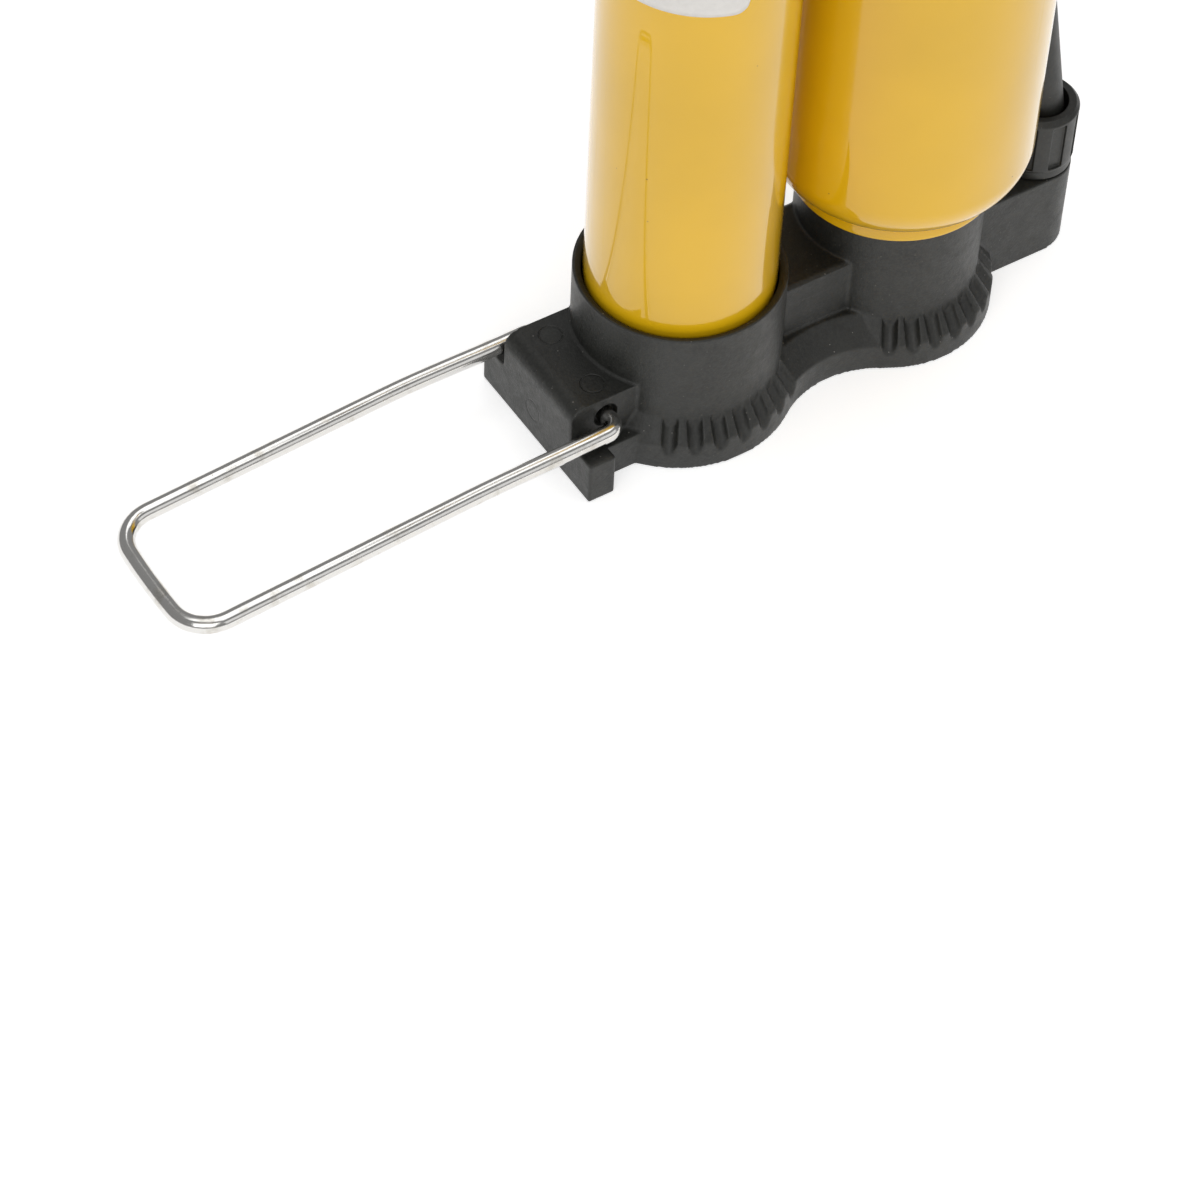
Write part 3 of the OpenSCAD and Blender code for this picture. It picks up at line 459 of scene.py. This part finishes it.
def eased_copy(node, voxel_mm, turn=0):
    """Shows a CAD node with its edges eased, as a moulding's are: remeshed finely, then relaxed.

    turn is how far the copy is turned about its own upright axis, in degrees."""
    mesh = frame["nodes"][node].data.copy()
    weld = bmesh.new()
    weld.from_mesh(mesh)
    bmesh.ops.remove_doubles(weld, verts=weld.verts, dist=WELD_GAP)
    weld.to_mesh(mesh)
    weld.free()
    piece = bpy.data.objects.new(node + "_moulding", mesh)
    bpy.context.scene.collection.objects.link(piece)
    remesh = piece.modifiers.new("remesh", "REMESH")
    remesh.mode, remesh.voxel_size = "VOXEL", voxel_mm * MM
    smooth = piece.modifiers.new("relax", "SMOOTH")
    smooth.factor, smooth.iterations = 0.5, 3
    apply_modifiers(piece)
    mesh = piece.data
    bpy.data.objects.remove(piece)
    if turn:
        axis = Matrix.Translation(middle(node))
        mesh.transform(axis @ Matrix.Rotation(math.radians(turn), 4, "Z") @ axis.inverted())
    add_piece(node + "_moulding", mesh, node)


def arc(centre, radius, start, end, steps):
    """Points on an arc from one angle to another, both in degrees."""
    angles = [math.radians(start + (end - start) * i / steps) for i in range(steps + 1)]
    return [(centre[0] + radius * math.cos(a), centre[1] + radius * math.sin(a)) for a in angles]


def eased(corners, radius):
    """A closed outline with each corner rounded to that radius, or to a third of its shorter side."""
    points = []
    for i, corner in enumerate(corners):
        here, before = Vector(corner), Vector(corners[i - 1])
        after = Vector(corners[(i + 1) % len(corners)])
        cut = min(radius, (before - here).length / 3, (after - here).length / 3)
        start, end = here + (before - here).normalized() * cut, here + (after - here).normalized() * cut
        for k in range(CORNER_STEPS + 1):
            t = k / CORNER_STEPS
            points.append(tuple(start * (1 - t) ** 2 + here * 2 * t * (1 - t) + end * t * t))
    return points


def lathe_mesh(name, outline, centre, sides):
    """Turns a closed outline of (radius, height), in millimetres, about the upright axis through centre."""
    shape = bmesh.new()
    rings = []
    for side in range(sides):
        angle = 2 * math.pi * side / sides
        x, y = math.cos(angle), math.sin(angle)
        rings.append([shape.verts.new(Vector(centre) + Vector((r * x, r * y, z)) * MM) for r, z in outline])
    count = len(outline)
    for side in range(sides):
        here, there = rings[side], rings[(side + 1) % sides]
        for i in range(count):
            j = (i + 1) % count
            on_axis = outline[i][0] == 0 and outline[j][0] == 0
            if not on_axis:
                shape.faces.new((here[i], there[i], there[j], here[j]))
    # A point on the axis is the same in every ring
    bmesh.ops.remove_doubles(shape, verts=shape.verts, dist=1e-7)
    return finished_mesh(shape, name)


def tube_mesh(name, path, radius, sides):
    """A round tube of that radius along a path, all in metres, with flat ends."""
    shape = bmesh.new()
    rings = []
    count = len(path)
    side_way = None
    for i, point in enumerate(path):
        ahead = path[min(i + 1, count - 1)] - path[max(i - 1, 0)]
        ahead.normalize()
        if side_way is None:
            side_way = ahead.orthogonal()
        side_way = (side_way - ahead * side_way.dot(ahead)).normalized()
        other_way = ahead.cross(side_way)
        rings.append([shape.verts.new(point + radius * (math.cos(a) * side_way + math.sin(a) * other_way))
                      for a in (2 * math.pi * k / sides for k in range(sides))])
    for here, there in zip(rings, rings[1:]):
        for k in range(sides):
            shape.faces.new((here[k], here[(k + 1) % sides], there[(k + 1) % sides], there[k]))
    shape.faces.new(list(reversed(rings[0])))
    shape.faces.new(rings[-1])
    return finished_mesh(shape, name)


# ---------------------------------------------------------------- yellow tubes and label

def make_barrel():
    """The barrel, with its cut ends deburred."""
    size, wall = sizes("barrel"), 1.2
    radius, height = size.x / 2, size.z
    outline = eased([(radius, 0), (radius, height), (radius - wall, height), (radius - wall, 0)], 0.4)
    add_piece("barrel_tube", lathe_mesh("barrel_tube", outline, (0, 0, foot_z("barrel")), 256), "barrel")


def make_tank():
    """The reservoir, the same at both ends: a band that meets the plastic, a crease and a round shoulder."""
    centre, radius = middle("tank"), sizes("tank").x / 2
    band_r, band_h, band_edge = 17.65, 2.9, 0.3
    # The shoulder's radius, and the angle at which it breaks off into the band
    shoulder, crease = 9.0, 69.5
    stud_r, plate_drop = 4.0, 26.0
    boss_top = top_z("base")
    height = (top_z("top_bracket") - boss_top) / MM - plate_drop
    shoulder_z = band_h + math.sqrt(shoulder ** 2 - (band_r - radius + shoulder) ** 2)
    crease_r = radius - shoulder + shoulder * math.cos(math.radians(crease))
    crease_z = shoulder_z - shoulder * math.sin(math.radians(crease))
    # The band's flat foot, its rounded edge and its slight taper up to the crease
    half = [(stud_r, 0), (band_r - 1.6, 0), *arc((band_r - band_edge, band_edge), band_edge, -90, 0, 5),
            (band_r - 0.1, 0.9), (crease_r + 0.12, crease_z - 0.2)]
    half += arc((radius - shoulder, shoulder_z), shoulder, -crease, 0, 24)
    outline = half + [(r, height - z) for r, z in reversed(half)]
    add_piece("tank_shell", lathe_mesh("tank_shell", outline, (centre.x, centre.y, boss_top), 256), "tank")


def make_label():
    """The blank label: a thin sheet with rounded corners, wrapped on the barrel."""
    radius, height, low_z = sizes("barrel").x / 2, sizes("blank_label").z, foot_z("blank_label")
    # Where it starts round the barrel and how far it goes, in degrees
    start, turn = -200.0, 103.0
    glue, thick, corner = 0.02, 0.12, 2.5
    columns, rows = 96, 56
    width = math.radians(turn) * radius
    shape = bmesh.new()

    def column(layer_r, along):
        """The sheet's points on one upright line, at that distance along it."""
        to_side = max(0, min(along, width - along, corner))
        inset = corner - math.sqrt(corner ** 2 - (corner - to_side) ** 2)
        angle = math.radians(start) + along / radius
        x, y = layer_r * math.cos(angle) * MM, layer_r * math.sin(angle) * MM
        heights = [inset + (height - 2 * inset) * j / rows for j in range(rows + 1)]
        return [shape.verts.new((x, y, low_z + z * MM)) for z in heights]

    inner, outer = ([column(layer_r, width * i / columns) for i in range(columns + 1)]
                    for layer_r in (radius + glue, radius + glue + thick))
    for i in range(columns):
        for j in range(rows):
            shape.faces.new((outer[i][j], outer[i + 1][j], outer[i + 1][j + 1], outer[i][j + 1]))
            shape.faces.new((inner[i][j], inner[i][j + 1], inner[i + 1][j + 1], inner[i + 1][j]))
        for j in (0, rows):
            shape.faces.new((inner[i][j], inner[i + 1][j], outer[i + 1][j], outer[i][j]))
    for j in range(rows):
        for i in (0, columns):
            shape.faces.new((inner[i][j], inner[i][j + 1], outer[i][j + 1], outer[i][j]))
    add_piece("label_sheet", finished_mesh(shape, "label_sheet"), "blank_label")


# ---------------------------------------------------------------- foot pedal

def make_pedal():
    """The wire pedal: two tips that turn inwards into the hinge block, two legs, and an end that bows out."""
    wire_r, length, slope = 1.5, 79.0, math.radians(4.2)
    leg_y = sizes("foot_pedal").y / 2 - wire_r
    tip_in, tip_bend, corner, bow = 7.0, 2.0, 6.5, 130.0
    # The springy wire sits to one side in its bearings, so both legs sway near the block
    near_sway, far_sway, sway_reach = -0.7, -1.2, 28.0
    lean = math.degrees(math.asin((leg_y - corner) / (bow - corner)))
    bow_x = -length + bow
    corner_x = bow_x - (bow - corner) * math.cos(math.radians(lean))
    tip_steps, leg_steps = 4, 40
    half = [(0, leg_y - tip_in + k * (tip_in - tip_bend) / tip_steps) for k in range(tip_steps + 1)]
    half += arc((-tip_bend, leg_y - tip_bend), tip_bend, 0, 90, 12)[1:]
    half += [(-tip_bend + (corner_x + tip_bend) * k / leg_steps, leg_y) for k in range(1, leg_steps)]
    half += arc((corner_x, leg_y - corner), corner, 90, 180 - lean, 20)
    half += arc((bow_x, 0), bow, 180 - lean, 180, 10)[1:]
    flat = half + [(x, -y) for x, y in reversed(half[:-1])]
    hinge = next(joint for joint in frame["joints"] if joint["name"] == "pedal_fold")["pos_m"]
    turn = Matrix.Translation(hinge) @ Matrix.Rotation(-slope, 4, "Y")
    path = []
    for x, y in flat:
        share = max(0, 1 + x / sway_reach)
        sway = (near_sway if y < 0 else far_sway) * share * share * (3 - 2 * share)
        path.append(turn @ Vector((x * MM, (y + sway) * MM, 0)))
    add_piece("pedal_wire", tube_mesh("pedal_wire", path, wire_r * MM, 32), "foot_pedal")


# ---------------------------------------------------------------- hose and its fittings

def hose_path():
    """The hose's centreline, in millimetres: up beside the reservoir, over the top and down at the back."""
    arm_x, chuck = middle("hose_nut").x / MM, middle("hose_ferrule") / MM
    nut_foot, nut_top = foot_z("hose_nut") / MM, top_z("hose_nut") / MM
    barrel_top = top_z("barrel") / MM
    tank_top = barrel_top - 20
    clip_x, clip_y = middle("tank").x / MM + sizes("tank").x / 2 + 3.7, 9.0
    arch_foot, arch_h, arch_steps = barrel_top - 10, 32, 8
    # The strain relief leans from upright towards the clip
    lean, way = math.radians(9), math.radians(120)
    leaning = Vector((math.sin(lean) * math.cos(way), math.sin(lean) * math.sin(way), math.cos(lean)))
    start = Vector((arm_x, 0, nut_top))
    points = [Vector((arm_x, 0, nut_foot + 5)), start - Vector((0, 0, 4))]
    points += [start + leaning * along for along in (4, 14, 24)]
    points += [Vector((clip_x + out, y, z)) for out, y, z in
               ((0.7, 5.2, 78), (0.1, 6.8, 102), (0, 7.8, 128), (0, 8.4, 154), (0, 8.8, 180),
                (0, clip_y, tank_top - 10))]
    for step in range(arch_steps + 1):
        angle = math.pi * step / arch_steps
        share = (1 - math.cos(angle)) / 2
        points.append(Vector((clip_x + (chuck.x - clip_x) * share, clip_y + (chuck.y - clip_y) * share,
                              arch_foot + arch_h * math.sin(angle))))
    points.append(Vector((chuck.x, chuck.y, foot_z("hose_ferrule") / MM + 1)))
    return points


def smooth_curve(points, steps):
    """A curve through the points, with that many steps between two of them."""
    path = []
    for i in range(len(points) - 1):
        a, b = points[max(i - 1, 0)], points[i]
        c, d = points[i + 1], points[min(i + 2, len(points) - 1)]
        for k in range(steps):
            t = k / steps
            path.append(b + (c - a) * t / 2 + (2 * a - 5 * b + 4 * c - d) * t * t / 2
                        + (3 * b - a - 3 * c + d) * t ** 3 / 2)
    return path + [points[-1]]


def make_hose():
    """The hose, round where the CAD's has flat sides."""
    hose_r = 2.92
    path = [point * MM for point in smooth_curve(hose_path(), 12)]
    add_piece("hose_tube", tube_mesh("hose_tube", path, hose_r * MM, 28), "hose")


def make_ferrule():
    """The metal sleeve on the hose's end, with three crimped rings."""
    centre, size = middle("hose_ferrule"), sizes("hose_ferrule")
    radius, height, wall = size.x / 2, size.z, 0.75
    crimps, crimp_depth, crimp_step = (4.0, 8.0, 12.0), 0.35, 0.7
    outside = [(radius, 0)]
    for crimp_z in crimps:
        outside += [(radius - depth, crimp_z + i * crimp_step)
                    for i, depth in enumerate((0, crimp_depth, crimp_depth, 0))]
    outside += [(radius, height)]
    outline = eased(outside + [(radius - wall, height), (radius - wall, 0)], 0.3)
    place = (centre.x, centre.y, foot_z("hose_ferrule"))
    add_piece("crimped_ferrule", lathe_mesh("crimped_ferrule", outline, place, 96), "hose_ferrule")


# ---------------------------------------------------------------- rod and handle

def make_rod():
    """The piston's rod, with a thinner tail that goes through the piston."""
    size = sizes("piston_rod")
    radius, height = size.x / 2, size.z
    tail_r, tail_h = radius - 1.5, 17.5
    corners = [(0, 0), (tail_r, 0), (tail_r, tail_h), (radius, tail_h), (radius, height), (0, height)]
    # The corners on the axis stay sharp
    on_axis = CORNER_STEPS + 1
    outline = [corners[0], *eased(corners, 0.4)[on_axis:-on_axis], corners[-1]]
    add_piece("bright_rod", lathe_mesh("bright_rod", outline, (0, 0, foot_z("piston_rod")), 128), "piston_rod")


def make_wiper():
    """The wiper ring round the rod, with a lip that stands proud at its bore."""
    size = sizes("rod_wiper")
    radius, height = size.x / 2, size.z
    bore_r, lip_w, lip_drop = 4.05, 1.6, 0.5
    lip = [(bore_r + lip_w, height - lip_drop), (bore_r, height)]
    outline = eased([(bore_r, 0), (radius, 0), (radius, height), *lip], 0.35)
    add_piece("wiper_ring", lathe_mesh("wiper_ring", outline, (0, 0, foot_z("rod_wiper")), 96), "rod_wiper")


# ---------------------------------------------------------------- the whole pump

# Pieces whose edges are eased as a moulding's or a turned part's are, each with its mesh size in millimetres
EASED = {"base": 0.26, "strain_relief": 0.16, "top_bracket": 0.32, "tank_nut": 0.14,
         "chuck_body": 0.2, "chuck_cap": 0.16, "chuck_lever": 0.18, "handle": 0.32, "handle_grips": 0.28,
         "handle_screw": 0.12, "channel_plugs": 0.1, "valve_pusher": 0.12, "lever_pin": 0.1,
         "hose_nut": 0.13}
# The hose nut is turned by this many degrees about its own axis, so that its flutes stand as in the photograph
NUT_TURN = -8

make_camera()
make_studio()
# Every CAD node gets its finish, and the pieces below then take the place of some of them
for node, thing in frame["nodes"].items():
    thing.data.materials.clear()
    thing.data.materials.append(MATERIALS[SLOT_OF[node]])

make_barrel()
make_tank()
make_label()
make_pedal()
make_hose()
make_ferrule()
make_rod()
make_wiper()
for node, voxel_mm in EASED.items():
    eased_copy(node, voxel_mm, NUT_TURN if node == "hose_nut" else 0)
